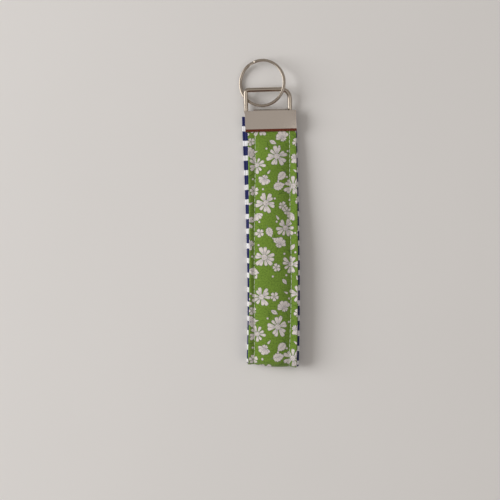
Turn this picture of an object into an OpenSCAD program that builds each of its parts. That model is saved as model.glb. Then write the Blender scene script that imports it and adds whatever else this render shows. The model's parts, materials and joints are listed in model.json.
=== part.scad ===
// Wristlet keychain: a folded fabric strap crimped in a metal clamp, with a wire bail and a split ring.
// Millimetres. The object lies flat on z = 0. +X runs across the strap, +Y from the strap towards the
// ring, +Z away from the surface. The origin is the centre of the clamp's flat back face.

/* [Clamp] */
// Width of the clamp across the strap
clamp_w = 32; // [31:0.5:34]
// Outside thickness of the clamp, jaw to jaw
clamp_t = 7; // [6.8:0.1:8]
// Thickness of the clamp's sheet metal
sheet_t = 0.7; // [0.5:0.1:0.8]
// Length of the flat part of each jaw
jaw_flat = 11.2; // [10:0.1:13]
// Outside radius of the bends beside the spine
spine_r = 1.2; // [0.9:0.1:1.5]
// Length of the bent-in lip, seen from above
lip_len = 1.7; // [1.4:0.1:2]
// Pitch of the small teeth on the lip's edge
tooth_pitch = 1; // [0.8:0.1:2]
// Depth of the corner notches in the jaws
notch_depth = 1; // [0.8:0.1:1.6]

/* [Bail] */
// Wire diameter of the bail
wire_d = 2.8; // [2.4:0.1:2.8]
// Outside width of the bail
bail_w = 30.2; // [29:0.1:30.2]
// Distance from the pivot to the middle of the top bar
bail_reach = 14.7; // [13:0.1:16]
// Sideways play taken up by the bail, to the left
bail_shift = 1.5; // [0:0.1:1.5]
// Bend radius of the left corner, to the middle of the wire
left_bend = 2; // [1.8:0.1:4]
// Bend radius of the right corner, to the middle of the wire
right_bend = 5.5; // [3:0.1:6]
// Length of each bent-in pivot end
pin_len = 8; // [7:0.5:9]
// Angle of the bail above the clamp's middle plane
bail_tilt = 9; // [8:0.5:12]

/* [Split ring] */
// Outside diameter of the split ring
ring_od = 30; // [29:0.5:31]
// Width of the ring's flat wire, seen from above
ring_band = 1.7; // [1.5:0.1:2]
// Thickness of one turn of the ring
coil_t = 0.97; // [0.8:0.01:1]
// Gap between the two turns
coil_gap = 0.06; // [0.04:0.01:0.1]
// Tilt of the ring, right side up
ring_tilt = 16; // [15.5:0.5:18]
// Distance of the ring's centre to the left of the clamp's centre
ring_left = 4.7; // [4:0.1:5]
// Gap between the spine and the ring's near edge
ring_clear = 1.5; // [1.4:0.1:2]

/* [Strap] */
// Width of the striped strap
strap_w = 32.3; // [31:0.1:33]
// Width of the floral band on its outer face
floral_w = 30.3; // [28:0.1:30.5]
// Length of the strap from the clamp's lip to the fold
strap_len = 145.7; // [120:1:180]
// Thickness of one layer of the striped cotton
cloth_t = 0.25; // [0.2:0.01:0.26]
// Thickness of the stiff core inside the strap
core_t = 0.7; // [0.5:0.05:0.75]
// Height of the loop's inside at the fold
loop_gap = 6.4; // [5.2:0.1:8]
// Width of the floral band's turned-under edges
hem_w = 6; // [5.5:0.5:8]

/* [Stitching] */
// Distance from the floral band's edge to the stitch line
stitch_inset = 4.35; // [3:0.05:5]
// Length from one stitch to the next
stitch_pitch = 3; // [2.4:0.1:4]
// Width of the sewing thread
thread_w = 0.45; // [0.3:0.05:0.6]

/* [Hidden] */
$fn = 64;
eps = 0.01;

// Heights of the strap's layers above the inside face of the loop
floral_t = 0.4;                            // two layers of the floral cotton, where its edge is turned under
cover_t = core_t + 2 * cloth_t;
strap_t = cover_t + floral_t;
furrow = 0.2;                              // depth that a stitch line sinks into the floral band
furrow_w = 0.8;
core_ease = 0.02;                          // room around the core inside its cover
cover_seam = 1;                            // gap between the cover's two raw edges, under the floral band
layer_ease = 0.02;                         // room between the cover and the floral band
bobbin_t = 0.15;                           // height of the under thread on the striped face

// Clamp
mid_z = clamp_t / 2;
bite = 0.05;                               // room between a lip and the cloth it closes on
lip_drop = mid_z - strap_t - bite - sheet_t;
jaw_low = -jaw_flat / 2;
spine_y = jaw_flat / 2 + spine_r;          // the spine's outer face
lip_y = jaw_low - lip_len;
tooth_h = 0.35;
notch_in = 10.6;                           // half the width of the spine between its corner notches

// Bail
pivot_play = 0.2;
pivot_y = spine_y - sheet_t - pivot_play - wire_d / 2;
leg_left = -(bail_w - wire_d) / 2 - bail_shift;
leg_right = (bail_w - wire_d) / 2 - bail_shift;
pin_bend = 1.8;

// Split ring
stack_t = 2 * coil_t + coil_gap;
ring_y = spine_y + ring_clear + ring_od / 2;
ring_z = ring_od / 2 * sin(ring_tilt) + stack_t / 2 * cos(ring_tilt);
split_at = 118;                            // where the two ends of the ring's wire lie
split_arc = 16;                            // arc over which the wire steps from one turn to the other
coil_edge = 0.3;                           // rounding of the flat wire's edges

// Loop: the front half rises from the clamp to the fold, and the back half drops to the surface
end_y = pivot_y - wire_d / 2 - 0.35;       // the strap's cut ends, inside the clamp
leave_y = lip_y - 0.6;                     // where the two halves start to part
fold_r = loop_gap / 2;
fold_y = lip_y - strap_len + fold_r + strap_t;
rise_len = 0.73 * (leave_y - fold_y);
drop_len = 17;
run_len = end_y - fold_y;
fold_len = PI * (fold_r + strap_t);
loop_len = 2 * run_len + fold_len;

function smooth(t) = let (c = min(max(t, 0), 1)) c * c * (3 - 2 * c);
function front_z(y) = mid_z + (strap_t + loop_gap - mid_z) * smooth((leave_y - y) / rise_len);
function back_z(y) = mid_z - (mid_z - strap_t) * smooth((leave_y - y) / drop_len);

// The loop's inside face at distance u along the strap, as [y, z]
function inner_point(u) =
    u < run_len ? let (y = end_y - u) [y, front_z(y)] :
    u < run_len + fold_len ?
        let (a = 90 + 180 * (u - run_len) / fold_len)
        [fold_y + fold_r * cos(a), strap_t + fold_r + fold_r * sin(a)] :
    let (y = fold_y + u - run_len - fold_len) [y, back_z(y)];
function outward(u) =
    let (h = 0.05, d = inner_point(u - h) - inner_point(u + h)) [-d[1], d[0]] / norm(d);
// A point of the strap at distance u along it and height n above the loop's inside face
function strap_point(u, n) = inner_point(u) + n * outward(u);

// Places along the strap where its outline needs a point
curve_steps = 20;
fold_steps = 20;
rise_from = end_y - leave_y;
outline_u = concat(
    [0, rise_from],
    [for (i = [1 : curve_steps]) rise_from + rise_len * i / curve_steps],
    [for (i = [0 : fold_steps]) run_len + fold_len * i / fold_steps],
    [for (i = [0 : curve_steps / 2]) loop_len - rise_from - drop_len * (1 - 2 * i / curve_steps)],
    [loop_len]);

// A layer of the strap between heights n0 and n1, from x0 to x1
module layer(n0, n1, x0, x1) {
    count = len(outline_u);
    points = concat([for (u = outline_u) strap_point(u, n1)],
        [for (i = [count - 1 : -1 : 0]) strap_point(outline_u[i], n0)]);
    across(x0, x1) polygon(points);
}

// Extrudes an outline drawn in [y, z] from x0 to x1
module across(x0, x1) {
    translate([x0, 0, 0]) rotate([90, 0, 90]) linear_extrude(x1 - x0) children();
}

module rounded_rect(w, h, r) {
    square([w - 2 * r, h], center = true);
    square([w, h - 2 * r], center = true);
    for (sx = [-1, 1], sy = [-1, 1])
        translate([sx * (w / 2 - r), sy * (h / 2 - r)]) circle(r);
}

// The clamp's section: a spine with round bends, and two jaws whose lips bend in to the cloth
module clamp_section() {
    long = 2 * clamp_t + jaw_flat;
    difference() {
        intersection() {
            translate([spine_y - long / 2, mid_z]) rounded_rect(long, clamp_t, spine_r);
            lip_taper(mid_z, lip_y);
        }
        intersection() {
            translate([spine_y - sheet_t - long / 2, mid_z])
                rounded_rect(long, clamp_t - 2 * sheet_t, spine_r - sheet_t + bite);
            lip_taper(mid_z - sheet_t, lip_y - 1);
        }
    }
}

// The space between two slopes that run through [jaw_low, +-half] and end at y = tip
module lip_taper(half, tip) {
    slope = lip_drop / lip_len;
    right = spine_y + 1;
    polygon([
        [tip, mid_z + half - slope * (jaw_low - tip)], [right, mid_z + half + slope * (right - jaw_low)],
        [right, mid_z - half - slope * (right - jaw_low)], [tip, mid_z - half + slope * (jaw_low - tip)]]);
}

// The gaps between the teeth along the edges of both lips
module tooth_gaps() {
    count = floor(clamp_w / tooth_pitch);
    start = -count * tooth_pitch / 2;
    translate([0, 0, -eps]) linear_extrude(clamp_t + 2 * eps)
        polygon(concat(
            [for (i = [0 : count]) [start + i * tooth_pitch, lip_y - eps]],
            [for (i = [count - 1 : -1 : 0]) each [
                [start + (i + 0.9) * tooth_pitch, lip_y - eps / 2],
                [start + (i + 0.5) * tooth_pitch, lip_y + tooth_h],
                [start + (i + 0.1) * tooth_pitch, lip_y - eps / 2]]]));
}

module clamp_shell() {
    color("silver") difference() {
        across(-clamp_w / 2, clamp_w / 2) clamp_section();
        tooth_gaps();
        for (side = [0, 1]) mirror([side, 0, 0])
            translate([notch_in, spine_y - notch_depth, -eps])
                cube([clamp_w, 2 * notch_depth, clamp_t + 2 * eps]);
    }
}

// One quarter bend of the bail's wire, from angle a to a + 90 about [x, y]
module wire_bend(x, y, r, a) {
    translate([x, y, 0]) rotate([0, 0, a])
        rotate_extrude(angle = 90) translate([r, 0]) circle(d = wire_d);
}

// A straight stretch of the bail's wire along X or Y
module wire_run(x0, y0, x1, y1) {
    dir = x0 == x1 ? [-90, 0, 0] : [0, 90, 0];
    translate([x0, y0, 0]) rotate(dir) cylinder(d = wire_d, h = norm([x1 - x0, y1 - y0]));
}

module bail() {
    color("gainsboro") translate([0, pivot_y, mid_z]) rotate([bail_tilt, 0, 0]) {
        wire_run(leg_left + left_bend, bail_reach, leg_right - right_bend, bail_reach);
        wire_run(leg_left, pin_bend, leg_left, bail_reach - left_bend);
        wire_run(leg_right, pin_bend, leg_right, bail_reach - right_bend);
        wire_run(leg_left + pin_bend, 0, leg_left + pin_len, 0);
        wire_run(leg_right - pin_len, 0, leg_right - pin_bend, 0);
        wire_bend(leg_left + left_bend, bail_reach - left_bend, left_bend, 90);
        wire_bend(leg_right - right_bend, bail_reach - right_bend, right_bend, 0);
        wire_bend(leg_left + pin_bend, pin_bend, pin_bend, 180);
        wire_bend(leg_right - pin_bend, pin_bend, pin_bend, 270);
    }
}

// One turn of the flat wire, open where the wire steps to the other turn
module ring_turn(z) {
    translate([0, 0, z]) rotate([0, 0, split_at + split_arc / 2])
        rotate_extrude(angle = 360 - split_arc)
            translate([ring_od / 2 - ring_band / 2, 0]) rounded_rect(ring_band, coil_t, coil_edge);
}

// The slanted stretch that joins the end of one turn to the start of the other
module ring_step() {
    half_len = (ring_od - ring_band) / 2 * tan(split_arc / 2);
    rise = (coil_t + coil_gap) / 2;
    run_on = 0.5;
    rotate([0, 0, split_at]) translate([ring_od / 2 - ring_band + coil_edge / 2, 0, 0])
        rotate([90, 0, 90]) linear_extrude(ring_band - coil_edge) polygon([
            [-half_len - run_on, -rise - coil_t / 2 + 0.05], [-half_len, -rise - coil_t / 2 + 0.05],
            [half_len, rise - coil_t / 2 + 0.05], [half_len + run_on, rise - coil_t / 2 + 0.05],
            [half_len + run_on, rise + coil_t / 2 - 0.05], [half_len, rise + coil_t / 2 - 0.05],
            [-half_len, -rise + coil_t / 2 - 0.05], [-half_len - run_on, -rise + coil_t / 2 - 0.05]]);
}

module split_ring() {
    color("whitesmoke") translate([-ring_left, ring_y, ring_z]) rotate([0, -ring_tilt, 0]) {
        for (side = [-1, 1]) ring_turn(side * (coil_t + coil_gap) / 2);
        ring_step();
    }
}

module core_webbing() {
    half_w = strap_w / 2 - cloth_t - core_ease;
    color("antiquewhite") layer(cloth_t + core_ease, cloth_t + core_t - core_ease, -half_w, half_w);
}

// The striped cotton wraps right round the core, and its raw edges nearly meet under the floral band
module striped_cover() {
    half_w = strap_w / 2;
    color("midnightblue") {
        layer(0, cloth_t, -half_w, half_w);
        for (side = [0, 1]) mirror([side, 0, 0]) {
            layer(0, cover_t, half_w - cloth_t, half_w);
            layer(cover_t - cloth_t, cover_t, cover_seam / 2, half_w);
        }
    }
}

// The floral band is one layer thick in the middle and two layers thick where its edges turn under
module floral_band() {
    half_w = floral_w / 2;
    stitch_x = half_w - stitch_inset;
    color("olivedrab") difference() {
        layer(cover_t + layer_ease, strap_t, -half_w, half_w);
        layer(cover_t, cover_t + floral_t / 2, -half_w + hem_w, half_w - hem_w);
        for (side = [-1, 1])
            layer(strap_t - furrow, strap_t + 1,
                side * stitch_x - furrow_w / 2, side * stitch_x + furrow_w / 2);
    }
}

// One stitch from u0 to u1 along the strap, between heights n0 and n1
module stitch(u0, u1, n0, n1, x) {
    mid = (u0 + u1) / 2;
    across(x - thread_w / 2, x + thread_w / 2) polygon(concat(
        [for (u = [u0, mid, u1]) strap_point(u, n1)],
        [for (u = [u1, mid, u0]) strap_point(u, n0)]));
}

// A row of stitches, u_from to u_to along the strap
module stitch_row(side, n0, n1, u_from, u_to, skip) {
    x = side * (floral_w / 2 - stitch_inset);
    count = floor((u_to - u_from) / stitch_pitch);
    for (i = [0 : count - 1])
        stitch(u_from + i * stitch_pitch + skip, u_from + (i + 1) * stitch_pitch - skip, n0, n1, x);
}

module topstitch(side) {
    edge = 0.6;
    color("white") stitch_row(side, strap_t - furrow + layer_ease, strap_t - layer_ease,
        edge, loop_len - edge, 0.25);
}

// The under thread starts where the two halves of the loop are far enough apart to show it
module bobbin_stitch(side) {
    parted = rise_from + 9;
    color("ghostwhite") stitch_row(side, -bobbin_t, -eps, parted, loop_len - parted, 0.3);
}

clamp_shell();
bail();
split_ring();
core_webbing();
striped_cover();
floral_band();
topstitch(-1);  // topstitch_left
topstitch(1);  // topstitch_right
bobbin_stitch(-1);  // bobbin_stitch_left
bobbin_stitch(1);  // bobbin_stitch_right
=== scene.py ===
"""A wristlet keychain: the cloth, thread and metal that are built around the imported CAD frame.

Shapes are worked out in millimetres and turned into metres where each mesh is made. The strap is one
long strip, so its pieces are described by x, across the strap, u, along it from the front half's cut end
round the fold to the back half's cut end, and n, the height above the inside face of the loop.
"""

import json
import math
from contextlib import contextmanager

import bmesh
import bpy
import numpy as np
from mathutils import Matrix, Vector
from mathutils.geometry import delaunay_2d_cdt


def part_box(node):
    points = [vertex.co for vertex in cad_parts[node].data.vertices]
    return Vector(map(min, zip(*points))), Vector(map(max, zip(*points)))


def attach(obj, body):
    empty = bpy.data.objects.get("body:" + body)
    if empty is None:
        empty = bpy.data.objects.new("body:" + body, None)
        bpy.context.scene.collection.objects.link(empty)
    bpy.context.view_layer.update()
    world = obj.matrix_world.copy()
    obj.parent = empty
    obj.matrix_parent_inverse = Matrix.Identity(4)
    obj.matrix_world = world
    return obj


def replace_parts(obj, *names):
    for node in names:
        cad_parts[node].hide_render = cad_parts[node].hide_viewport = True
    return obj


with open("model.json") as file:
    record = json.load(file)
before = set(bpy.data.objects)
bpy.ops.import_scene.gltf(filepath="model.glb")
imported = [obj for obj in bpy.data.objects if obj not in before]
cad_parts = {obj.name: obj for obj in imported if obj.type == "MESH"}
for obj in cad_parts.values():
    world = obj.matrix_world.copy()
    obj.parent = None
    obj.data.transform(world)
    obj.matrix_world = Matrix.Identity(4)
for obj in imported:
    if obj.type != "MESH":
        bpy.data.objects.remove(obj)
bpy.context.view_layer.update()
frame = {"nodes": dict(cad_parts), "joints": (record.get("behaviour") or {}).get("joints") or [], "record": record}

MM = 0.001


# ---------------------------------------------------------------- sizes, from the frame

def box_mm(node):
    low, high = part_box(node)
    return np.array(low) / MM, np.array(high) / MM


def joint_mm(name):
    joint = next(j for j in frame["joints"] if j["name"] == name)
    return np.array(joint["pos_m"]) / MM


CLAMP_LOW, CLAMP_HIGH = box_mm("clamp_shell")
BAND_LOW, BAND_HIGH = box_mm("floral_band")
COVER_LOW, COVER_HIGH = box_mm("striped_cover")
CORE_LOW, CORE_HIGH = box_mm("core_webbing")
BAIL_LOW, BAIL_HIGH = box_mm("bail")
PIVOT = joint_mm("bail_swing")
BAR = joint_mm("ring_swing")

MID_Z = (CLAMP_LOW[2] + CLAMP_HIGH[2]) / 2
LIP_Y = CLAMP_LOW[1]
END_Y = BAND_HIGH[1]                        # the strap's cut ends, in the clamp
FOLD_OUT_Y = BAND_LOW[1]
STRAP_W = COVER_HIGH[0] - COVER_LOW[0]
BAND_W = BAND_HIGH[0] - BAND_LOW[0]
CORE_W = CORE_HIGH[0] - CORE_LOW[0]
FLORAL_T = BAND_HIGH[2] - COVER_HIGH[2]
CLOTH_T = 0.25
CORE_T = 0.66
COVER_T = 2 * CLOTH_T + 0.7
STRAP_T = COVER_T + FLORAL_T
LOOP_GAP = BAND_HIGH[2] - 2 * STRAP_T


# ---------------------------------------------------------------- the strap's line

LEAVE_Y = LIP_Y - 0.6                       # where the two halves part
FOLD_R = LOOP_GAP / 2
FOLD_Y = FOLD_OUT_Y + FOLD_R + STRAP_T
RISE = 0.73 * (LEAVE_Y - FOLD_Y)            # the front half rises over this length
DROP = 17.0                                 # and the back half drops over this one
RUN = END_Y - FOLD_Y                        # straight length of each half
FOLD = math.pi * (FOLD_R + STRAP_T)
LOOP = 2 * RUN + FOLD                       # length of the whole strip
OUTSIDE = LIP_Y - FOLD_OUT_Y                # length of the loop outside the clamp

BOW = -2.8                                  # how far the fold lies to the left of the clamp's middle
PEEK = -1.7                                 # how far the back half lies to the left at the clamp
PEEK_FADE = 1.8
SKEW = 0.09                                 # slope of the folded end across the strap
SKEW_FROM = 0.55                            # where along the loop that slope sets in


def smooth(t):
    c = np.clip(t, 0, 1)
    return c * c * (3 - 2 * c)


def inside_point(u):
    """The y and z of the loop's inside face at u."""
    front = u < RUN
    back = u > RUN + FOLD
    y = np.where(front, END_Y - u, FOLD_Y + u - RUN - FOLD)
    front_z = MID_Z + (STRAP_T + LOOP_GAP - MID_Z) * smooth((LEAVE_Y - y) / RISE)
    back_z = MID_Z - (MID_Z - STRAP_T) * smooth((LEAVE_Y - y) / DROP)
    turn = math.pi / 2 + math.pi * (u - RUN) / FOLD
    fold_z = STRAP_T + FOLD_R * (1 + np.sin(turn))
    y = np.where(front | back, y, FOLD_Y + FOLD_R * np.cos(turn))
    z = np.where(front, front_z, np.where(back, back_z, fold_z))
    return y, z


def inside_face(u):
    """The loop's inside face at u: y, z, and the y and z of the direction out of the loop."""
    step = 0.05
    y, z = inside_point(u)
    y0, z0 = inside_point(u - step)
    y1, z1 = inside_point(u + step)
    length = np.hypot(y1 - y0, z1 - z0)
    return y, z, (z1 - z0) / length, (y0 - y1) / length


def along(u):
    """From 0 at the clamp's lip to 1 at the fold, on either half."""
    return np.clip((LIP_Y - inside_face(u)[0]) / OUTSIDE, 0, 1)


def side_shift(u):
    """How far the strap lies to one side: both halves bow, and the back half also peeks out."""
    t = along(u)
    return BOW * t ** 3 + PEEK * (1 - t) ** PEEK_FADE * smooth((u - RUN) / FOLD)


def strap_points(x, u, n):
    """Points of the strap in metres, for arrays of x, u and n in millimetres."""
    x, u, n = np.broadcast_arrays(np.asarray(x, float), np.asarray(u, float), np.asarray(n, float))
    y, z, out_y, out_z = inside_face(u)
    slant = SKEW * x * smooth((along(u) - SKEW_FROM) / (1 - SKEW_FROM))
    return np.stack([x + side_shift(u), y + n * out_y - slant, z + n * out_z], axis=-1) * MM


# ---------------------------------------------------------------- meshes

def linked(name, data):
    made = bpy.data.objects.new(name, data)
    bpy.context.scene.collection.objects.link(made)
    return made


def new_object(name, points, faces, materials, body, uvs=None, face_materials=None):
    mesh = bpy.data.meshes.new(name)
    mesh.from_pydata([tuple(p) for p in points], [], faces)
    if uvs is not None:
        layer = mesh.uv_layers.new(name="cloth")
        index = np.empty(len(mesh.loops), dtype=np.int32)
        mesh.loops.foreach_get("vertex_index", index)
        layer.data.foreach_set("uv", np.asarray(uvs, dtype=np.float32)[index].ravel())
    for material in materials:
        mesh.materials.append(material)
    if face_materials is not None:
        mesh.polygons.foreach_set("material_index", np.asarray(face_materials, dtype=np.int32))
    mesh.polygons.foreach_set("use_smooth", np.full(len(mesh.polygons), True))
    mesh.update()
    piece = linked(name, mesh)
    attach(piece, body)
    return piece


def grid_faces(rows, columns, closed_columns=False):
    """Quads of a grid of points stored row by row."""
    last = columns if closed_columns else columns - 1
    return [
        (r * columns + c, r * columns + (c + 1) % columns,
         (r + 1) * columns + (c + 1) % columns, (r + 1) * columns + c)
        for r in range(rows - 1) for c in range(last)
    ]


def tube_faces(rows, columns):
    """Faces of a tube of rings of points stored ring by ring, with both ends closed."""
    first = tuple(range(columns))[::-1]
    last = tuple(range((rows - 1) * columns, rows * columns))
    return grid_faces(rows, columns, closed_columns=True) + [first, last]


@contextmanager
def editing(mesh):
    """The mesh as a bmesh, written back when the block ends."""
    work = bmesh.new()
    work.from_mesh(mesh)
    yield work
    work.to_mesh(mesh)
    work.free()


def mend_normals(piece):
    with editing(piece.data) as work:
        bmesh.ops.recalc_face_normals(work, faces=work.faces)


def shade_by_angle(piece, degrees):
    """Smooth shading with sharp edges where faces meet at more than this angle."""
    with editing(piece.data) as work:
        for edge in work.edges:
            sharp = len(edge.link_faces) != 2 or edge.calc_face_angle(math.pi) > math.radians(degrees)
            edge.smooth = not sharp
        for face in work.faces:
            face.smooth = True


def sweep(name, rings, material, body):
    """A closed tube through rings of points, an array of rings by points by 3, in metres."""
    piece = new_object(name, rings.reshape(-1, 3), tube_faces(*rings.shape[:2]), [material], body)
    mend_normals(piece)
    shade_by_angle(piece, 40)
    return piece


# ---------------------------------------------------------------- materials

class Shader:
    """A Principled material, with short calls for the nodes that feed it."""

    def __init__(self, name, **values):
        self.material = bpy.data.materials.new(name)
        self.material.use_nodes = True
        self.tree = self.material.node_tree
        self.surface = self.tree.nodes["Principled BSDF"]
        for socket, value in values.items():
            self.surface.inputs[socket.replace("_", " ").title()].default_value = value

    def put(self, socket, value):
        if isinstance(value, bpy.types.NodeSocket):
            self.tree.links.new(value, socket)
        elif value is not None:
            socket.default_value = value

    def node(self, kind, inputs=None, **settings):
        made = self.tree.nodes.new(kind)
        for name, value in settings.items():
            setattr(made, name, value)
        for name, value in (inputs or {}).items():
            self.put(made.inputs[name], value)
        return made

    def math(self, operation, a, b=None, c=None):
        return self.node("ShaderNodeMath", {0: a, 1: b, 2: c}, operation=operation).outputs[0]

    def mix(self, factor, a, b, blend="MIX"):
        made = self.node("ShaderNodeMix", {0: factor, 6: a, 7: b}, data_type="RGBA", blend_type=blend)
        return made.outputs[2]

    def ramp(self, value, low, high, to_low=0.0, to_high=1.0):
        inputs = {0: value, 1: low, 2: high, 3: to_low, 4: to_high}
        return self.node("ShaderNodeMapRange", inputs).outputs[0]

    def scaled(self, vector, scale):
        return self.node("ShaderNodeMapping", {"Vector": vector, "Scale": scale}).outputs[0]

    def place(self, scale=(1.0, 1.0, 1.0)):
        """The object's own coordinates in metres, times scale along X, Y and Z."""
        return self.scaled(self.node("ShaderNodeTexCoord").outputs["Object"], scale)

    def cloth(self):
        """Millimetres across and along the cloth, each as its own value, and both as a vector."""
        here = self.node("ShaderNodeUVMap", uv_map="cloth").outputs[0]
        parts = self.node("ShaderNodeSeparateXYZ", {0: here})
        return parts.outputs[0], parts.outputs[1], here

    def noise(self, vector, scale, detail=2.0, roughness=0.5):
        inputs = {"Vector": vector, "Scale": scale, "Detail": detail, "Roughness": roughness}
        return self.node("ShaderNodeTexNoise", inputs).outputs[0]

    def bump(self, height, distance, strength):
        made = self.node("ShaderNodeBump", {"Height": height, "Distance": distance, "Strength": strength})
        self.put(self.surface.inputs["Normal"], made.outputs[0])

    def colour(self, value):
        self.put(self.surface.inputs["Base Color"], value)

    def roughness(self, value):
        self.put(self.surface.inputs["Roughness"], value)


def rgb(red, green, blue):
    return (red, green, blue, 1.0)


def weave(shader, across, length, yarn):
    """Height of a plain weave, 0 to 1, with yarns this many millimetres apart."""
    turns = math.pi / yarn
    flat_part, crossing = 0.6, 0.4
    wave_a = shader.math("SINE", shader.math("MULTIPLY", across, turns))
    wave_b = shader.math("SINE", shader.math("MULTIPLY", length, turns))
    over = shader.math("MULTIPLY", wave_a, wave_b)
    ridges = [
        shader.math("MULTIPLY", shader.math("ABSOLUTE", wave),
                    shader.math("MULTIPLY_ADD", over, rise, flat_part))
        for wave, rise in ((wave_a, crossing), (wave_b, -crossing))
    ]
    return shader.math("MAXIMUM", *ridges)


def finish_cotton(shader, colour, yarn, fade=0.24):
    """Weave, slubs and slight fading over a printed colour, with painted shade in the weave's valleys."""
    slub_scale, fade_scale = (2.4, 0.25, 1), 0.16
    valley_shade_depth, weave_base, slub_depth = 0.16, 0.90, 0.22
    across, length, here = shader.cloth()
    height = weave(shader, across, length, yarn)
    slub = shader.noise(shader.scaled(here, slub_scale), 1.0)
    patch = shader.noise(here, fade_scale, 3.0)
    # Painted shade: the weave's valleys are coloured darker than the yarn crossings. Slubs and fading then vary
    # the tone.
    valley_shade_and_tone = shader.math("MULTIPLY_ADD", height, valley_shade_depth, weave_base)
    valley_shade_and_tone = shader.math("MULTIPLY_ADD", shader.math("SUBTRACT", slub, 0.5), slub_depth, valley_shade_and_tone)
    valley_shade_and_tone = shader.math("MULTIPLY_ADD", shader.math("SUBTRACT", patch, 0.5), fade, valley_shade_and_tone)
    grey = shader.node("ShaderNodeCombineColor", {0: valley_shade_and_tone, 1: valley_shade_and_tone, 2: valley_shade_and_tone}).outputs[0]
    shader.colour(shader.mix(1.0, colour, grey, "MULTIPLY"))
    shader.bump(shader.math("MULTIPLY_ADD", slub, 0.5, height), 0.06 * MM, 0.55)
    return shader.material


def print_cotton(name, colour, speckle=None):
    """One colour of the floral print, on fine cotton. The speckle is where the ink lies uneven."""
    yarn, speckle_scale = 0.30, 1.1
    shader = Shader(name, roughness=0.82, sheen_weight=0.18, sheen_roughness=0.5)
    if speckle is not None:
        here = shader.cloth()[2]
        fleck = shader.ramp(shader.noise(here, speckle_scale, 3.0, 0.6), 0.42, 0.66)
        colour = shader.mix(fleck, colour, speckle)
    return finish_cotton(shader, colour, yarn)


STRIPE_NAVY = 0.65                          # share of each period that is navy
STRIPE_START = -0.37
STRIPE_SLANT = 0.03
STRIPE_COUNT = 34
STRIPE_SOFT = 0.02                          # the printed edge's softness, as a share of the period
# The two halves' stripes meet along the strap's left edge.
STRIPE_PERIOD = (LOOP - 2 * STRIPE_START - STRIPE_SLANT * STRAP_W) / (STRIPE_COUNT + STRIPE_NAVY)


def striped_cotton():
    yarn, wobble_size = 0.36, 0.5
    shader = Shader("striped_cotton", roughness=0.85, sheen_weight=0.15, sheen_roughness=0.5)
    _, length, here = shader.cloth()
    start = shader.math("SUBTRACT", length, STRIPE_START + wobble_size / 2)
    wobble = shader.math("MULTIPLY_ADD", shader.noise(here, 0.9, 3.0), wobble_size, start)
    phase = shader.math("FRACT", shader.math("DIVIDE", wobble, STRIPE_PERIOD))
    rise = shader.ramp(phase, 0.0, STRIPE_SOFT)
    fall = shader.ramp(phase, STRIPE_NAVY + STRIPE_SOFT, STRIPE_NAVY)
    navy = shader.math("MULTIPLY", rise, fall)
    colour = shader.mix(navy, rgb(0.84, 0.84, 0.87), rgb(0.011, 0.015, 0.105))
    return finish_cotton(shader, colour, yarn, fade=0.16)


def webbing():
    shader = Shader("webbing", roughness=0.9, sheen_weight=0.1)
    return finish_cotton(shader, rgb(0.80, 0.77, 0.69), 0.9)


def sewing_thread():
    """Two-ply polyester thread: the twist runs slantwise round it, and its grooves are painted darker as shade."""
    shader = Shader("sewing_thread", roughness=0.6, sheen_weight=0.2, sheen_roughness=0.4)
    inputs = {"Vector": shader.place(), "Scale": 900.0, "Distortion": 0.4}
    twist = shader.node("ShaderNodeTexWave", inputs, bands_direction="DIAGONAL").outputs[1]
    # Painted shade: the twist's grooves are coloured darker than its ridges.
    shader.colour(shader.mix(twist, rgb(0.50, 0.56, 0.42), rgb(0.76, 0.80, 0.69)))
    shader.bump(twist, 0.05 * MM, 0.5)
    return shader.material


def nickel(name, colour, smoothest, roughest, grain):
    """Nickel plate. grain stretches the fine polishing marks along X, Y and Z."""
    shader = Shader(name, metallic=1.0)
    marks = shader.noise(shader.place(grain), 1.0, 4.0, 0.65)
    smudge = shader.noise(shader.place(), 90.0, 3.0)
    wear = shader.math("MULTIPLY_ADD", smudge, 0.5, marks)
    shader.roughness(shader.ramp(wear, 0.4, 1.1, smoothest, roughest))
    darker = rgb(*(0.86 * c for c in colour[:3]))
    shader.colour(shader.mix(shader.ramp(marks, 0.35, 0.7), darker, colour))
    shader.bump(marks, 0.02 * MM, 0.18)
    return shader.material


def floor_material():
    shader = Shader("floor", roughness=0.9)
    cloud = shader.noise(shader.place(), 6.0, 4.0)
    shader.colour(shader.mix(cloud, rgb(0.76, 0.745, 0.73), rgb(0.80, 0.785, 0.77)))
    return shader.material


# ---------------------------------------------------------------- stitch lines and the band's section

HALF_BAND = BAND_W / 2
UNDER_N = COVER_T + 0.02                    # where the turned-under edges lie
TOP_N = STRAP_T - 0.23                      # the outer face at the bottom of the stitch lines
STITCH_PITCH = 3.0
LEFT_INSET = 3.75                           # how far each stitch row lies from the band's edge
RIGHT_INSET = 4.45
LEFT_WANDER = 0.95
RIGHT_WANDER = 0.25

# Each height is its part that shows everywhere, and the part that only the puffed cloth has.
CROWN = (0.10, 2.10)                        # between the stitch rows
MARGIN = (0.10, 1.05)                       # between each row and the band's edge
RIGHT_MARGIN = 1.25                         # the right margin is fuller
PUFF_RISE = 14.0                            # the cloth puffs up over this length outside the clamp
FLAT_PUFF = 0.05                            # share of the puff that is left on the back half


def stitch_x(side, u):
    """Where a stitch row lies across the strap. The left row wanders in towards the edge and back."""
    t = along(u)
    if side < 0:
        return -HALF_BAND + LEFT_INSET + LEFT_WANDER * np.cos(math.pi * t * 1.7) * (1 - 0.45 * t)
    return HALF_BAND - RIGHT_INSET + RIGHT_WANDER * np.cos(math.pi * t * 3.1)


def puff(u):
    """How much the cloth stands up between the stitch rows: not in the clamp, fully on the front half."""
    settle = 4.0
    out_of_clamp = smooth((LIP_Y - inside_face(u)[0]) / PUFF_RISE)
    on_front = 1 - smooth((u - RUN + settle) / (FOLD + settle))
    return out_of_clamp * (FLAT_PUFF + (1 - FLAT_PUFF) * on_front)


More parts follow.
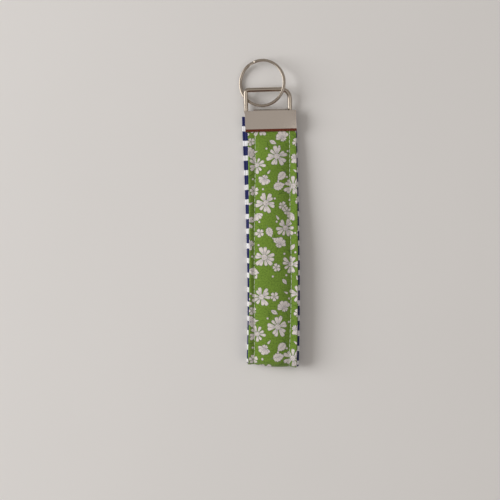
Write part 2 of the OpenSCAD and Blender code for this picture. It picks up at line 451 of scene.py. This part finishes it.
def stitch_dents(x, u, left, right, rise):
    """How far the stitches pull the cloth down: a narrow groove, and wider furrows at each stitch."""
    groove_w, groove, groove_wave = 0.7, 0.06, 0.05
    furrow_w, furrow = 2.2, 0.09
    hole = np.cos(2 * math.pi * u / STITCH_PITCH)
    away = np.minimum(abs(x - left), abs(x - right))
    pucker = np.exp(-(away / groove_w) ** 2) * (groove + groove_wave * hole)
    return pucker + furrow * rise * hole * np.exp(-(away / furrow_w) ** 2)


def top_height(x, u):
    """Height of the floral band's outer face above the loop's inside face."""
    left, right = stitch_x(-1, u), stitch_x(1, u)
    rise = puff(u)
    s = np.clip((x - (left + right) / 2) / ((right - left) / 2), -1, 1)
    crown = (CROWN[0] + CROWN[1] * rise) * (1 - s * s) ** 0.9
    left_t = np.clip((left - x) / (left + HALF_BAND), 0, 1)
    right_t = np.clip((x - right) / (HALF_BAND - right), 0, 1)
    margin = (MARGIN[0] + MARGIN[1] * rise) * (np.sin(math.pi / 2 * left_t) + RIGHT_MARGIN * right_t)
    ripple = rise * (0.05 * np.sin(u / 4.3 + 0.35 * x) + 0.04 * np.sin(u / 7.9 - 0.2 * x))
    return TOP_N + crown + margin + ripple - stitch_dents(x, u, left, right, rise)


def band_shift(u):
    """The band is sewn on slightly to the right at the clamp and to the left at the fold."""
    at_clamp, at_fold = 0.55, -0.40
    return at_clamp + (at_fold - at_clamp) * along(u)


def band_points(p, u):
    """The floral cloth's points for flat coordinates p across and u along, in millimetres."""
    side = np.sign(p)
    reach = abs(p)
    edge_r = (top_height(side * (HALF_BAND - 0.25), u) - UNDER_N) / 2
    flat_part = HALF_BAND - edge_r
    angle = np.clip((reach - flat_part) / edge_r, 0, math.pi)
    hem = np.clip(reach - flat_part - math.pi * edge_r, 0, None)
    on_top = reach < flat_part
    x = np.where(on_top, reach, flat_part + edge_r * np.sin(angle) - hem)
    n = np.where(on_top, top_height(p, u), UNDER_N + edge_r * (1 + np.cos(angle)))
    return strap_points(side * x + band_shift(u), u, n)


# ---------------------------------------------------------------- the floral print

TILE = 105.6                                # length of the print's repeat
FLAT_HALF = 21.2                            # half the width that the band was cut to
OUTLINE = 0.15                              # width of the drawn outlines
VEIN = 0.16

# Half outlines from base to tip, for a petal or leaf of length 1. The tips are notched.
PETAL = [(0.14, 0.03), (0.32, 0.065), (0.50, 0.125), (0.66, 0.172), (0.80, 0.18), (0.91, 0.145),
         (0.96, 0.09), (0.90, 0.045), (1.0, 0.0)]
NARROW_PETAL = [(0.10, 0.05), (0.35, 0.10), (0.62, 0.16), (0.82, 0.17), (0.95, 0.10), (1.0, 0.0)]
ROUND_PETAL = [(0.16, 0.07), (0.38, 0.20), (0.62, 0.33), (0.84, 0.33), (0.99, 0.20), (0.90, 0.0)]
LEAF = [(0.16, 0.13), (0.36, 0.24), (0.56, 0.25), (0.78, 0.14), (1.0, 0.0)]
TOOTHED = [(0.02, 0.05), (0.14, 0.27), (0.17, 0.22), (0.34, 0.36), (0.37, 0.29), (0.55, 0.34),
           (0.57, 0.26), (0.74, 0.24), (0.76, 0.17), (1.0, 0.0)]


def both_sides(half):
    return half + [(x, -y) for x, y in reversed(half) if y > 0]


def ahead(x, y, angle, distance):
    """The point at this distance and angle from x, y."""
    return x + distance * math.cos(angle), y + distance * math.sin(angle)


def moved(points, x, y, angle, length, width=None):
    width = length if width is None else width
    c, s = math.cos(angle), math.sin(angle)
    return [(x + c * length * a - s * width * b, y + s * length * a + c * width * b) for a, b in points]


def disc(x, y, r, sides=10):
    return [ahead(x, y, 2 * math.pi * k / sides, r) for k in range(sides)]


def stroke(start, end, width):
    """A thin tapered line."""
    taper = 0.4
    dx, dy = end[0] - start[0], end[1] - start[1]
    length = math.hypot(dx, dy)
    nx, ny = -dy / length * width / 2, dx / length * width / 2
    return [(start[0] + nx, start[1] + ny), (end[0] + nx * taper, end[1] + ny * taper),
            (end[0] - nx * taper, end[1] - ny * taper), (start[0] - nx, start[1] - ny)]


def ray(x, y, angle, start, end, width):
    """A stroke along one direction, between two distances from x, y."""
    return stroke(ahead(x, y, angle, start), ahead(x, y, angle, end), width)


def petal(shape, x, y, angle, length, width=1.0, veins=2):
    """One petal: a drawn outline, the pale petal inside it, and short veins from its base."""
    outline = both_sides(shape)
    wider = OUTLINE / max(across for _, across in shape)
    back = ahead(x, y, angle, -OUTLINE)
    marks = [("line", moved(outline, *back, angle, length + 2 * OUTLINE, length * width + wider)),
             ("petal", moved(outline, x, y, angle, length, length * width))]
    for k in range(veins):
        lean = angle + 0.11 * (k - (veins - 1) / 2)
        reach = 0.70 if k % 2 else 0.60
        marks.append(("vein", ray(x, y, lean, 0.2 * length, reach * length, VEIN)))
    return marks


def daisy(x, y, r, petals, angle):
    """An open flower seen from the front, with a stippled middle."""
    middle = 0.27
    marks = []
    for k in range(petals):
        turn = angle + 2 * math.pi * k / petals + 0.11 * math.sin(2.7 * k + x)
        length = r * (1 + 0.13 * math.sin(1.9 * k + y))
        marks += petal(PETAL, x, y, turn, length, 0.90 + 0.13 * math.sin(3.1 * k))
    marks.append(("petal", disc(x, y, middle * r, 12)))
    for ring, count in ((middle, 12), (0.17, 8), (0.08, 4)):
        for k in range(count):
            spot = ahead(x, y, 2 * math.pi * k / count + 7 * ring, ring * r)
            marks.append(("line", disc(*spot, 0.18 + 0.05 * math.sin(k + x), 5)))
    return marks


def half_open(x, y, r, angle):
    """A flower seen from the side: a fan of petals over a small cup."""
    back = angle + math.pi
    marks = [("stem", ray(x, y, back, 0, 0.9 * r, 0.35))]
    for k in (-2.2, 2.4, -1.3, 1.2, -0.1):
        marks += petal(PETAL, x, y, angle + 0.47 * k, r * (1 - 0.07 * abs(k)), 1.2)
    cup = ahead(x, y, back, -0.12 * r)
    for lean in (0.9, -0.9, 0.35, -0.35):
        marks += petal(NARROW_PETAL, *cup, back + lean, 0.42 * r, 1.1, veins=0)
    for lean in (-2.4, -0.8, 0.8, 2.4):
        marks.append(("line", disc(*ahead(x, y, angle + lean, 0.1 * r), 0.14, 5)))
    return marks


def blossom(x, y, r, angle):
    """A small five-petalled flower."""
    marks = []
    for k in range(5):
        length = r * (1 + 0.08 * math.sin(2 * k + x))
        marks += petal(ROUND_PETAL, x, y, angle + 2 * math.pi * k / 5, length, veins=1)
    marks.append(("centre", disc(x, y, 0.20 * r, 8)))
    marks.append(("petal", disc(x, y, 0.10 * r, 6)))
    return marks


def drawn_leaf(shape, x, y, length, angle, wider):
    """A pale leaf inside its drawn outline."""
    back = ahead(x, y, angle, -OUTLINE)
    return [("line", moved(shape, *back, angle, length + 3 * OUTLINE, length + wider)),
            ("petal", moved(shape, x, y, angle, length))]


def side_veins(x, y, length, angle, starts, lean, reach, width):
    """Pairs of veins that leave the midrib at each share of the leaf's length."""
    marks = []
    for start in starts:
        root = ahead(x, y, angle, start * length)
        marks += [("vein", ray(*root, angle + side * lean, 0, reach * length, width)) for side in (1, -1)]
    return marks


def leaf(x, y, length, angle):
    """A pale leaf with a drawn midrib and side veins."""
    marks = drawn_leaf(both_sides(LEAF) + [(0.0, 0.0)], x, y, length, angle, OUTLINE / 0.25)
    marks.append(("vein", ray(x, y, angle, 0, 0.85 * length, VEIN)))
    return marks + side_veins(x, y, length, angle, (0.25, 0.5), 0.6, 0.22, 0.10)


def toothed_leaf(x, y, length, angle):
    """A broad leaf with a saw-toothed edge, a midrib and side veins."""
    marks = drawn_leaf(both_sides(TOOTHED), x, y, length, angle, OUTLINE / 0.36)
    marks.append(("line", ray(x, y, angle, -0.25 * length, 0.8 * length, 0.20)))
    return marks + side_veins(x, y, length, angle, (0.18, 0.36, 0.54), 0.65, 0.3, 0.12)


def twig(x, y, length, angle):
    """Darker green pen strokes in the background: lean, start and reach of each."""
    strokes = ((0.0, 0.0, 1.0), (0.5, 0.25, 0.45), (-0.5, 0.4, 0.42), (0.4, 0.6, 0.35), (-0.7, 0.15, 0.3))
    return [("stem", ray(*ahead(x, y, angle, start * length), angle + lean, 0, reach * length, 0.30))
            for lean, start, reach in strokes]


def bud(x, y, length, angle):
    return petal(NARROW_PETAL, x, y, angle, length, 1.25, veins=1)


def dot(x, y):
    r = 0.62
    return [("line", disc(x, y, r + OUTLINE)), ("petal", disc(x, y, r))]


def sprig(x, y, length, angle):
    """A stem of four narrow petals."""
    marks = [("stem", ray(x, y, angle, 0, -0.8 * length, 0.3))]
    for lean in (-0.75, 0.75, -0.28, 0.28):
        marks += petal(NARROW_PETAL, x, y, angle + lean, length, 1.2, veins=1)
    return marks


# One repeat of the print, laid out one by one. Each motif's places are across the cloth, along it, and then
# its own size and angle. A daisy has its number of petals before the angle.
PRINT = [
    (twig, [(-3.0, 16.0, 7.0, 1.4), (12.0, 12.0, 7.5, 0.4), (-12.0, 36.0, 7.0, 2.6),
        (6.0, 33.0, 7.0, 0.9), (3.0, 50.0, 7.5, -0.6), (-10.0, 68.0, 7.0, 0.8), (12.0, 66.0, 7.0, 2.2),
        (1.0, 74.0, 7.0, 1.9), (8.0, 84.0, 7.0, 0.4), (-13.0, 92.0, 7.5, 1.2), (3.0, 98.0, 7.0, -0.9),
        (-16.0, 54.0, 7.0, 0.3)]),
    (leaf, [(-1.6, 15.5, 4.8, 0.5)]),
    (toothed_leaf, [(7.6, 35.6, 6.8, 2.3), (0.4, 45.2, 7.4, -0.3), (-3.6, 70.0, 6.4, 1.2)]),
    (leaf, [(13.0, 80.5, 4.6, 2.2)]),
    (toothed_leaf, [(-15.4, 96.0, 6.6, 0.3)]),
    (leaf, [(-17.0, 45.5, 5.0, 1.2), (17.2, 31.0, 4.8, 1.3), (5.4, 101.8, 4.2, 0.9)]),
    (sprig, [(-11.0, 61.0, 4.6, 1.0), (12.5, 61.5, 4.4, 2.4), (19.0, 94.0, 4.4, 0.4)]),
    (half_open, [(7.0, 14.6, 5.6, -2.0), (-4.8, 38.6, 5.2, 1.9), (13.2, 26.0, 5.0, 0.6),
        (-15.4, 23.4, 5.0, -0.4), (3.2, 81.0, 5.4, -1.2), (-13.8, 79.5, 5.2, 2.8)]),
    (daisy, [(-7.6, 7.2, 5.9, 10, 0.2), (2.8, 25.6, 6.3, 11, 0.5), (15.6, 5.6, 5.6, 9, 0.1),
        (-9.8, 30.6, 5.2, 9, 0.9), (12.6, 44.4, 5.9, 10, 0.3), (-4.6, 54.6, 6.2, 11, 0.0),
        (-16.8, 66.0, 5.4, 9, 0.7), (7.4, 70.4, 5.7, 10, 0.6), (-5.8, 88.2, 6.3, 11, 0.25),
        (10.6, 92.8, 5.4, 9, 0.45), (-18.6, 10.0, 5.2, 9, 0.3), (19.0, 72.0, 5.2, 9, 0.3)]),
    (blossom, [(0.4, 7.0, 2.7, 0.3), (-11.9, 46.8, 2.9, 0.8), (5.8, 56.6, 2.6, 0.1),
        (8.4, 59.8, 2.4, 0.9), (-8.6, 73.2, 2.8, 0.5), (16.4, 53.6, 2.6, 0.2), (1.6, 94.8, 2.5, 0.7),
        (-13.2, 16.0, 2.5, 0.6), (15.2, 17.0, 2.6, 0.4)]),
    (bud, [(-1.4, 34.0, 3.0, 2.2), (12.8, 34.0, 2.8, 0.6), (1.6, 62.4, 3.2, 1.0),
        (-1.2, 76.4, 2.8, 0.4), (-10.4, 98.2, 3.2, 1.8), (14.0, 99.8, 3.0, 1.2), (3.4, 39.6, 2.6, 1.6),
        (-12.6, 54.0, 3.0, 2.7), (6.2, 4.0, 2.8, 0.4), (-9.0, 22.0, 2.8, 2.9)]),
    (dot, [(9.6, 22.4), (-3.6, 20.6), (10.2, 53.0), (1.0, 52.0), (-8.8, 66.2), (13.4, 73.6),
        (2.0, 66.4), (-9.4, 80.6), (6.6, 86.4), (-0.6, 100.2), (-12.4, 39.4), (8.8, 38.6), (-14.2, 5.2),
        (4.4, 19.4), (15.8, 66.0), (-13.4, 87.6), (9.6, 8.2), (-6.2, 46.0), (7.8, 99.6), (13.4, 85.6)]),
]


def anticlockwise(points):
    area = sum(a[0] * b[1] - b[0] * a[1] for a, b in zip(points, points[1:] + points[:1]))
    return points if area > 0 else points[::-1]


def subdivided(points):
    """Adds points along long edges, so that an outline follows the band's round edge and furrows."""
    made = []
    for a, b in zip(points, points[1:] + points[:1]):
        outer = max(abs(a[0]), abs(b[0])) > HALF_BAND - 0.8
        pieces = math.ceil(math.dist(a, b) / (0.25 if outer else 0.9))
        made += [(a[0] + (b[0] - a[0]) * k / pieces, a[1] + (b[1] - a[1]) * k / pieces)
                 for k in range(pieces)]
    return made


def print_outlines():
    """Every outline of the print over the whole band, back to front, as (colour, points)."""
    margin = 8
    marks = []
    for repeat in range(-1, math.ceil(LOOP / TILE)):
        for motif, places in PRINT:
            for x, y, *rest in places:
                marks += motif(x, y + repeat * TILE, *rest)
    return [(colour, subdivided(anticlockwise(points))) for colour, points in marks
            if -margin < points[0][1] < LOOP + margin and abs(points[0][0]) < FLAT_HALF + margin]


# ---------------------------------------------------------------- the floral band

ROW = 0.75                                  # spacing of the band's rows of points
SLICE_ROWS = 8                              # rows that are triangulated at a time
NEAR_STITCHES = np.array([-1.4, -0.8, -0.4, 0.0, 0.4, 0.8, 1.4])
NEAR_EDGE = HALF_BAND - 0.4 + np.linspace(0, 1.2, 7)
HEM_MIDDLE = 19.0
SAME_POINT = 1e-7                           # metres


def band_row(u, dense):
    """Points across the flat cloth: close together at the stitch rows, and elsewhere if dense."""
    left, right = float(stitch_x(-1, u)), float(stitch_x(1, u))
    spots = [left + NEAR_STITCHES, right + NEAR_STITCHES, [-FLAT_HALF, FLAT_HALF]]
    if dense:
        spots += [np.linspace(left + 2.3, right - 2.3, 15), [-HALF_BAND + 1.2]]
        spots += [[HALF_BAND - 1.2, HALF_BAND - 2.6], NEAR_EDGE, -NEAR_EDGE, [-HEM_MIDDLE, HEM_MIDDLE]]
    return [(float(p), float(u)) for p in np.concatenate(spots)]


def band_grid(rows):
    """The flat cloth's points. Every second row is dense, and every row near the fold."""
    grid = []
    for k, u in enumerate(rows):
        folded = RUN - 3 < u < RUN + FOLD + 3
        grid += band_row(u, folded or k % 2 == 0 or k == len(rows) - 1)
    return grid


def flat_slice(low, high, grid, marks):
    """Triangles of the flat cloth from u low to high, each with the topmost outline's colour."""
    points = [q for q in grid if low <= q[1] <= high]
    corners = [(-FLAT_HALF, low), (FLAT_HALF, low), (FLAT_HALF, high), (-FLAT_HALF, high)]
    outlines = [("ground", corners)]
    outlines += [(colour, outline) for colour, outline in marks
                 if min(q[1] for q in outline) < high and max(q[1] for q in outline) > low]
    faces = []
    for _, outline in outlines:
        faces.append(list(range(len(points), len(points) + len(outline))))
        points += outline
    vectors = [Vector(q) for q in points]
    flat, _, triangles, _, _, over = delaunay_2d_cdt(vectors, [], faces, 0, 1e-4, True)
    kept = [(triangle[::-1], outlines[max(ids)][0]) for triangle, ids in zip(triangles, over) if 0 in ids]
    return [(v.x, v.y) for v in flat], kept


def flat_band(colours):
    """The whole flat cloth: its points, its triangles and the number of each triangle's colour."""
    rows = np.linspace(0, LOOP, int(LOOP / ROW) + 1)
    grid = band_grid(rows)
    marks = print_outlines()
    bounds = list(rows[::SLICE_ROWS][:-1]) + [rows[-1]]
    flat, triangles, paint = [], [], []
    for low, high in zip(bounds, bounds[1:]):
        points, kept = flat_slice(float(low), float(high), grid, marks)
        triangles += [tuple(len(flat) + i for i in triangle) for triangle, _ in kept]
        paint += [colours.index(colour) for _, colour in kept]
        flat += points
    return np.array(flat), triangles, paint


def floral_band(materials):
    """The floral cloth. The print's outlines are edges of the mesh, so each colour is its own faces."""
    flat, triangles, paint = flat_band(list(materials))
    points = band_points(flat[:, 0], flat[:, 1])
    piece = new_object("floral_cloth", points, triangles, list(materials.values()), "strap", flat, paint)
    with editing(piece.data) as work:
        bmesh.ops.delete(work, geom=[v for v in work.verts if not v.link_faces], context="VERTS")
        bmesh.ops.remove_doubles(work, verts=work.verts, dist=SAME_POINT)
        bmesh.ops.dissolve_degenerate(work, edges=work.edges, dist=SAME_POINT)
    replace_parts(piece, "floral_band")
    return piece


# ---------------------------------------------------------------- the striped cloth and the core

def sleeve_section(width, low, high):
    """A flattened sleeve's section: x, height and the way round. Its last point is its first again."""
    radius = (high - low) / 2
    straight = width / 2 - radius
    flat_x = np.linspace(-straight, straight, 22)
    turn = np.linspace(0, math.pi, 9)[1:-1]
    round_x = straight + radius * np.sin(turn)
    round_n = radius * (1 - np.cos(turn))
    x = np.concatenate([flat_x, round_x, flat_x[::-1], -round_x])
    n = np.concatenate([np.full(22, low), low + round_n, np.full(22, high), high - round_n])
    x, n = np.append(x, x[0]), np.append(n, n[0])
    around = np.append(0, np.cumsum(np.hypot(np.diff(x), np.diff(n))))
    return x, n, around


def flat_sleeve(name, width, low, high, material, uv_slant=0.0):
    """A flattened sleeve round the whole loop, between two heights. Its round edges wave a little."""
    x, n, around = sleeve_section(width, low, high)
    u = np.linspace(0, LOOP, int(LOOP / 0.8) + 1)[:, None]
    edge = np.clip((abs(x) - HALF_BAND + 1) / 2, 0, 1)
    wave = edge * puff(u) * (0.10 * np.sin(u / 5.1 + np.sign(x)) + 0.06 * np.sin(u / 2.3))
    points = strap_points(x, u, n + wave)
    uvs = np.stack([np.broadcast_to(around, points.shape[:2]), u + uv_slant * x], axis=-1)
    faces = grid_faces(len(u), len(x))
    piece = new_object(name, points.reshape(-1, 3), faces, [material], "strap", uvs.reshape(-1, 2))
    mend_normals(piece)
    return piece


def weld_and_cap(piece):
    """Makes a sleeve a solid strip: joins its long seam and closes its cut ends."""
    with editing(piece.data) as work:
        bmesh.ops.remove_doubles(work, verts=work.verts, dist=SAME_POINT)
        bmesh.ops.holes_fill(work, edges=[edge for edge in work.edges if edge.is_boundary])
    mend_normals(piece)


# ---------------------------------------------------------------- the thread

STITCH_GAP = 0.12                           # between one stitch's end and the next one's start
THREAD_SIDES = 8
STITCH_STEPS = 9


def stitch(k, side, radius, outer):
    """One stitch's rings of points: a short thread that rises out of one hole and dives into the next."""
    t = np.linspace(0, 1, STITCH_STEPS)
    around = np.linspace(0, 2 * math.pi, THREAD_SIDES, endpoint=False)
    u = k * STITCH_PITCH + STITCH_GAP / 2 + t * (STITCH_PITCH - STITCH_GAP)
    middle = stitch_x(side, u)
    x = middle + band_shift(u) + 0.05 * math.sin(2.1 * k)
    arch = np.sin(math.pi * np.clip(t, 0.001, 0.999)) ** 0.35
    height = top_height(middle, u) + 0.16 * arch - 0.14 if outer else 0.06 - 0.14 * arch
    r = radius * (0.60 + 0.40 * arch)[:, None]
    return strap_points(x[:, None] + r * np.cos(around), u[:, None], height[:, None] + r * np.sin(around))


def stitch_row(name, side, material, outer):
    """A row of separate stitches, with a few left out at each end of the strap, inside the clamp."""
    radius, left_out = (0.21, 1) if outer else (0.17, 6)
    one = tube_faces(STITCH_STEPS, THREAD_SIDES)
    points, faces = [], []
    for k in range(left_out, int(LOOP / STITCH_PITCH) - left_out):
        base = len(points)
        points += list(stitch(k, side, radius, outer).reshape(-1, 3))
        faces += [tuple(base + i for i in face) for face in one]
    piece = new_object(name, points, faces, [material], "strap")
    mend_normals(piece)
    return piece


# ---------------------------------------------------------------- metal

def apply_modifiers(piece):
    bpy.context.view_layer.update()
    result = piece.evaluated_get(bpy.context.evaluated_depsgraph_get())
    mesh = bpy.data.meshes.new_from_object(result)
    piece.modifiers.clear()
    piece.data = mesh


def clamp_piece(material):
    """The CAD clamp's own shape, with its sharp sheet edges rounded off."""
    mesh = frame["nodes"]["clamp_shell"].data.copy()
    mesh.name = "clamp"
    mesh.materials.clear()
    mesh.materials.append(material)
    with editing(mesh) as work:
        bmesh.ops.remove_doubles(work, verts=work.verts, dist=1e-6)
        bmesh.ops.dissolve_limit(work, angle_limit=math.radians(1.5), verts=work.verts, edges=work.edges)
    piece = linked("clamp", mesh)
    bevel = piece.modifiers.new("edges", "BEVEL")
    bevel.width = 0.10 * MM
    bevel.segments = 2
    bevel.limit_method = "ANGLE"
    bevel.angle_limit = math.radians(25)
    apply_modifiers(piece)
    shade_by_angle(piece, 35)
    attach(piece, "strap")
    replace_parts(piece, "clamp_shell")


def quarter(x, y, r, start, steps=10):
    """A clockwise quarter circle round x, y, from this angle in degrees."""
    angles = np.radians(start - np.linspace(0, 90, steps))
    return [(x + r * math.cos(a), y + r * math.sin(a)) for a in angles]


def bail_line(wire_r):
    """The middle of the bail's wire, flat: x across, and the distance out from the pivot."""
    pin, pin_bend, left_bend, right_bend = 8.0, 1.8, 2.0, 5.5
    left, right = BAIL_LOW[0] + wire_r, BAIL_HIGH[0] - wire_r
    reach = math.hypot(BAR[1] - PIVOT[1], BAR[2] - PIVOT[2])
    points = [(left + pin, 0)] + quarter(left + pin_bend, pin_bend, pin_bend, 270)
    points += quarter(left + left_bend, reach - left_bend, left_bend, 180)
    points += quarter(right - right_bend, reach - right_bend, right_bend, 90, 16)
    points += quarter(right - pin_bend, pin_bend, pin_bend, 0) + [(right - pin, 0)]
    return np.array(points)


def bail_piece(material):
    """Round wire along the bail's line, with chamfered ends, tilted to where the CAD's bar lies."""
    chamfer, wire_sides = 0.3, 28
    wire_r = PIVOT[2] - BAIL_LOW[2]
    line = bail_line(wire_r)
    steps = np.gradient(line, axis=0)
    steps /= np.linalg.norm(steps, axis=1)[:, None]
    sides = np.stack([-steps[:, 1], steps[:, 0]], axis=-1)
    first, last = line[:1] + steps[:1] * chamfer, line[-1:] - steps[-1:] * chamfer
    line = np.concatenate([line[:1], first, line[1:-1], last, line[-1:]])
    sides = np.concatenate([sides[:1], sides[:1], sides[1:-1], sides[-1:], sides[-1:]])
    radius = np.full((len(line), 1), wire_r)
    radius[[0, -1]] = wire_r - chamfer
    turn = np.linspace(0, 2 * math.pi, wire_sides, endpoint=False)
    flat = line[:, None, :] + (radius * np.cos(turn))[..., None] * sides[:, None, :]
    up = radius * np.sin(turn)
    tilt = math.atan2(BAR[2] - PIVOT[2], BAR[1] - PIVOT[1])
    y = PIVOT[1] + flat[..., 1] * math.cos(tilt) - up * math.sin(tilt)
    z = PIVOT[2] + flat[..., 1] * math.sin(tilt) + up * math.cos(tilt)
    piece = sweep("bail_wire", np.stack([flat[..., 0], y, z], axis=-1) * MM, material, "bail")
    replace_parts(piece, "bail")


def rounded_rectangle(width, height, corner):
    steps = 5
    points = []
    for side_x, side_y, start in ((1, 1, 0), (-1, 1, 90), (-1, -1, 180), (1, -1, 270)):
        for a in np.radians(start + np.linspace(0, 90, steps)):
            points.append((side_x * (width / 2 - corner) + corner * math.cos(a),
                           side_y * (height / 2 - corner) + corner * math.sin(a)))
    return np.array(points)


def ring_piece(material):
    """Two turns of flat wire in one sweep, with a smooth step from the lower turn to the upper one."""
    band, coil, gap, corner = 1.7, 0.97, 0.06, 0.44
    split_at, half_split = math.radians(118), math.radians(8)
    end_size = 0.8
    mount = next(m for m in frame["record"]["mounts"] if m["name"] == "key_ring")
    centre, axis = Vector(mount["pos_m"]), Vector(mount["axis"]).normalized()
    turn = np.linspace(half_split, 4 * math.pi - half_split, 420)
    step = smooth((turn - (2 * math.pi - half_split)) / (2 * half_split))
    height = (step - 0.5) * (coil + gap)
    section = rounded_rectangle(band, coil, corner)
    size = np.ones(len(turn))
    size[[0, -1]] = end_size
    radius = mount["dims"]["r_mm"] + band / 2 + size[:, None] * section[:, 0]
    angle = (turn + split_at)[:, None]
    up = height[:, None] + size[:, None] * section[:, 1]
    rings = np.stack([radius * np.cos(angle), radius * np.sin(angle), up], axis=-1) * MM
    tilt = Vector((0, 0, 1)).rotation_difference(axis).to_matrix()
    piece = sweep("split_ring_wire", rings @ np.array(tilt).T + np.array(centre), material, "ring")
    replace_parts(piece, "split_ring")


# ---------------------------------------------------------------- building the pieces

band = floral_band({
    "ground": print_cotton("print_green", rgb(0.172, 0.290, 0.029), rgb(0.100, 0.190, 0.015)),
    "stem": print_cotton("print_dark_green", rgb(0.062, 0.130, 0.012)),
    "line": print_cotton("print_violet_grey", rgb(0.140, 0.130, 0.165)),
    "vein": print_cotton("print_pale_violet", rgb(0.270, 0.250, 0.300)),
    "petal": print_cotton("print_blush_white", rgb(0.760, 0.700, 0.660), rgb(0.630, 0.590, 0.575)),
    "centre": print_cotton("print_olive", rgb(0.130, 0.170, 0.040)),
})

wrap = flat_sleeve("striped_wrap", STRAP_W, 0.0, COVER_T, striped_cotton(), STRIPE_SLANT)
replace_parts(wrap, "striped_cover")

core_n = CLOTH_T + 0.02
core = flat_sleeve("core_strip", CORE_W, core_n, core_n + CORE_T, webbing())
weld_and_cap(core)
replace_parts(core, "core_webbing")

thread = sewing_thread()
for word, side in (("left", -1), ("right", 1)):
    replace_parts(stitch_row("top_thread_" + word, side, thread, True), "topstitch_" + word)
    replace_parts(stitch_row("under_thread_" + word, side, thread, False), "bobbin_stitch_" + word)

clamp_piece(nickel("satin_nickel", rgb(0.72, 0.65, 0.585), 0.17, 0.26, (900.0, 9000.0, 9000.0)))
bail_piece(nickel("wire_nickel", rgb(0.58, 0.51, 0.43), 0.08, 0.16, (2500.0, 2500.0, 2500.0)))
ring_piece(nickel("ring_steel", rgb(0.58, 0.51, 0.435), 0.07, 0.14, (3000.0, 3000.0, 3000.0)))


# ---------------------------------------------------------------- floor, lights and camera

def stage_plane(name, size, location, rotation, material):
    mesh = bpy.data.meshes.new(name)
    half_w, half_h = size[0] / 2, size[1] / 2
    corners = [(-half_w, -half_h, 0), (half_w, -half_h, 0), (half_w, half_h, 0), (-half_w, half_h, 0)]
    mesh.from_pydata(corners, [], [(0, 1, 2, 3)])
    mesh.materials.append(material)
    made = linked(name, mesh)
    made.location = location
    made.rotation_euler = rotation
    return made


def painted_reflection_board(name, size, location, colour, glow):
    """An upright glowing board that only the metal sees: a painted reflection, on the side that the strap points
    at.
    """
    shader = Shader(name, roughness=0.9, base_color=colour, emission_color=glow, emission_strength=1.0)
    board = stage_plane(name, size, location, (math.radians(90), 0, 0), shader.material)
    board.visible_camera = False
    board.visible_diffuse = False
    board.visible_shadow = False
    board.visible_transmission = False


def area_light(name, location, size, watts, colour):
    """A round light that points at the middle of the keychain."""
    target = Vector((0.0, (FOLD_OUT_Y + BAIL_HIGH[1]) / 2 * MM, 0.0))
    data = bpy.data.lights.new(name, "AREA")
    data.shape = "DISK"
    data.size = size
    data.energy = watts
    data.color = colour
    made = linked(name, data)
    made.location = location
    made.rotation_euler = (target - Vector(location)).to_track_quat("-Z", "Y").to_euler()
    return made


def room_world():
    """A warm, even room that is darker near the horizon than overhead."""
    world = bpy.data.worlds.new("room")
    world.use_nodes = True
    nodes, links = world.node_tree.nodes, world.node_tree.links
    direction = nodes.new("ShaderNodeTexCoord")
    parts = nodes.new("ShaderNodeSeparateXYZ")
    glow = nodes.new("ShaderNodeMapRange")
    for name, value in (("From Min", 0.05), ("From Max", 0.75), ("To Min", 0.10), ("To Max", 0.37)):
        glow.inputs[name].default_value = value
    links.new(direction.outputs["Generated"], parts.inputs[0])
    links.new(parts.outputs["Z"], glow.inputs["Value"])
    links.new(glow.outputs[0], nodes["Background"].inputs["Strength"])
    nodes["Background"].inputs["Color"].default_value = rgb(1.0, 0.935, 0.875)
    bpy.context.scene.world = world


def view_from_above(height, width, centre, roll):
    """A camera that looks straight down and takes in this width at the floor, in metres."""
    lens = bpy.data.cameras.new("camera")
    lens.sensor_width = 36.0
    lens.lens = lens.sensor_width * height / width
    lens.clip_end = 10.0
    camera = linked("camera", lens)
    camera.location = (*centre, height)
    camera.rotation_euler = (0, 0, roll)
    bpy.context.scene.camera = camera


stage_plane("floor", (4.0, 4.0), (0, 0, -0.0001), (0, 0, 0), floor_material())
# Painted reflections: a red-brown glowing board for the clamp's lip, and a near-black one for the dark undersides
# of the wire and ring.
BROWN, BROWN_GLOW = rgb(0.03, 0.008, 0.004), rgb(0.125, 0.017, 0.004)
DARK, DARK_GLOW = rgb(0.01, 0.01, 0.01), rgb(0.012, 0.010, 0.009)
painted_reflection_board("brown_reflection_board", (0.8, 0.42), (0.0, -0.65, 0.27), BROWN, BROWN_GLOW)
painted_reflection_board("dark_reflection_board", (1.0, 1.0), (0.0, -0.70, 0.50), DARK, DARK_GLOW)

# The window is two lights, one just behind the other, because the metal sees only the dimmer one.
WINDOW = Vector((-1.85, 0.15, 1.08))
DAYLIGHT = (1.0, 0.995, 0.995)
area_light("window", WINDOW, 1.55, 25.0, DAYLIGHT).visible_glossy = False
area_light("window_gleam", WINDOW * 0.95, 1.45, 14.0, DAYLIGHT)
area_light("fill", (1.20, -0.60, 1.80), 1.20, 3.0, (1.0, 0.97, 0.94))
area_light("ceiling", (0.0, -0.05, 2.2), 2.0, 1.2, (1.0, 0.97, 0.93))
room_world()
view_from_above(height=0.90, width=0.3135, centre=(-0.0150, -0.0806), roll=math.radians(-1.5))
bpy.context.scene.view_settings.view_transform = "Standard"

bpy.context.view_layer.update()
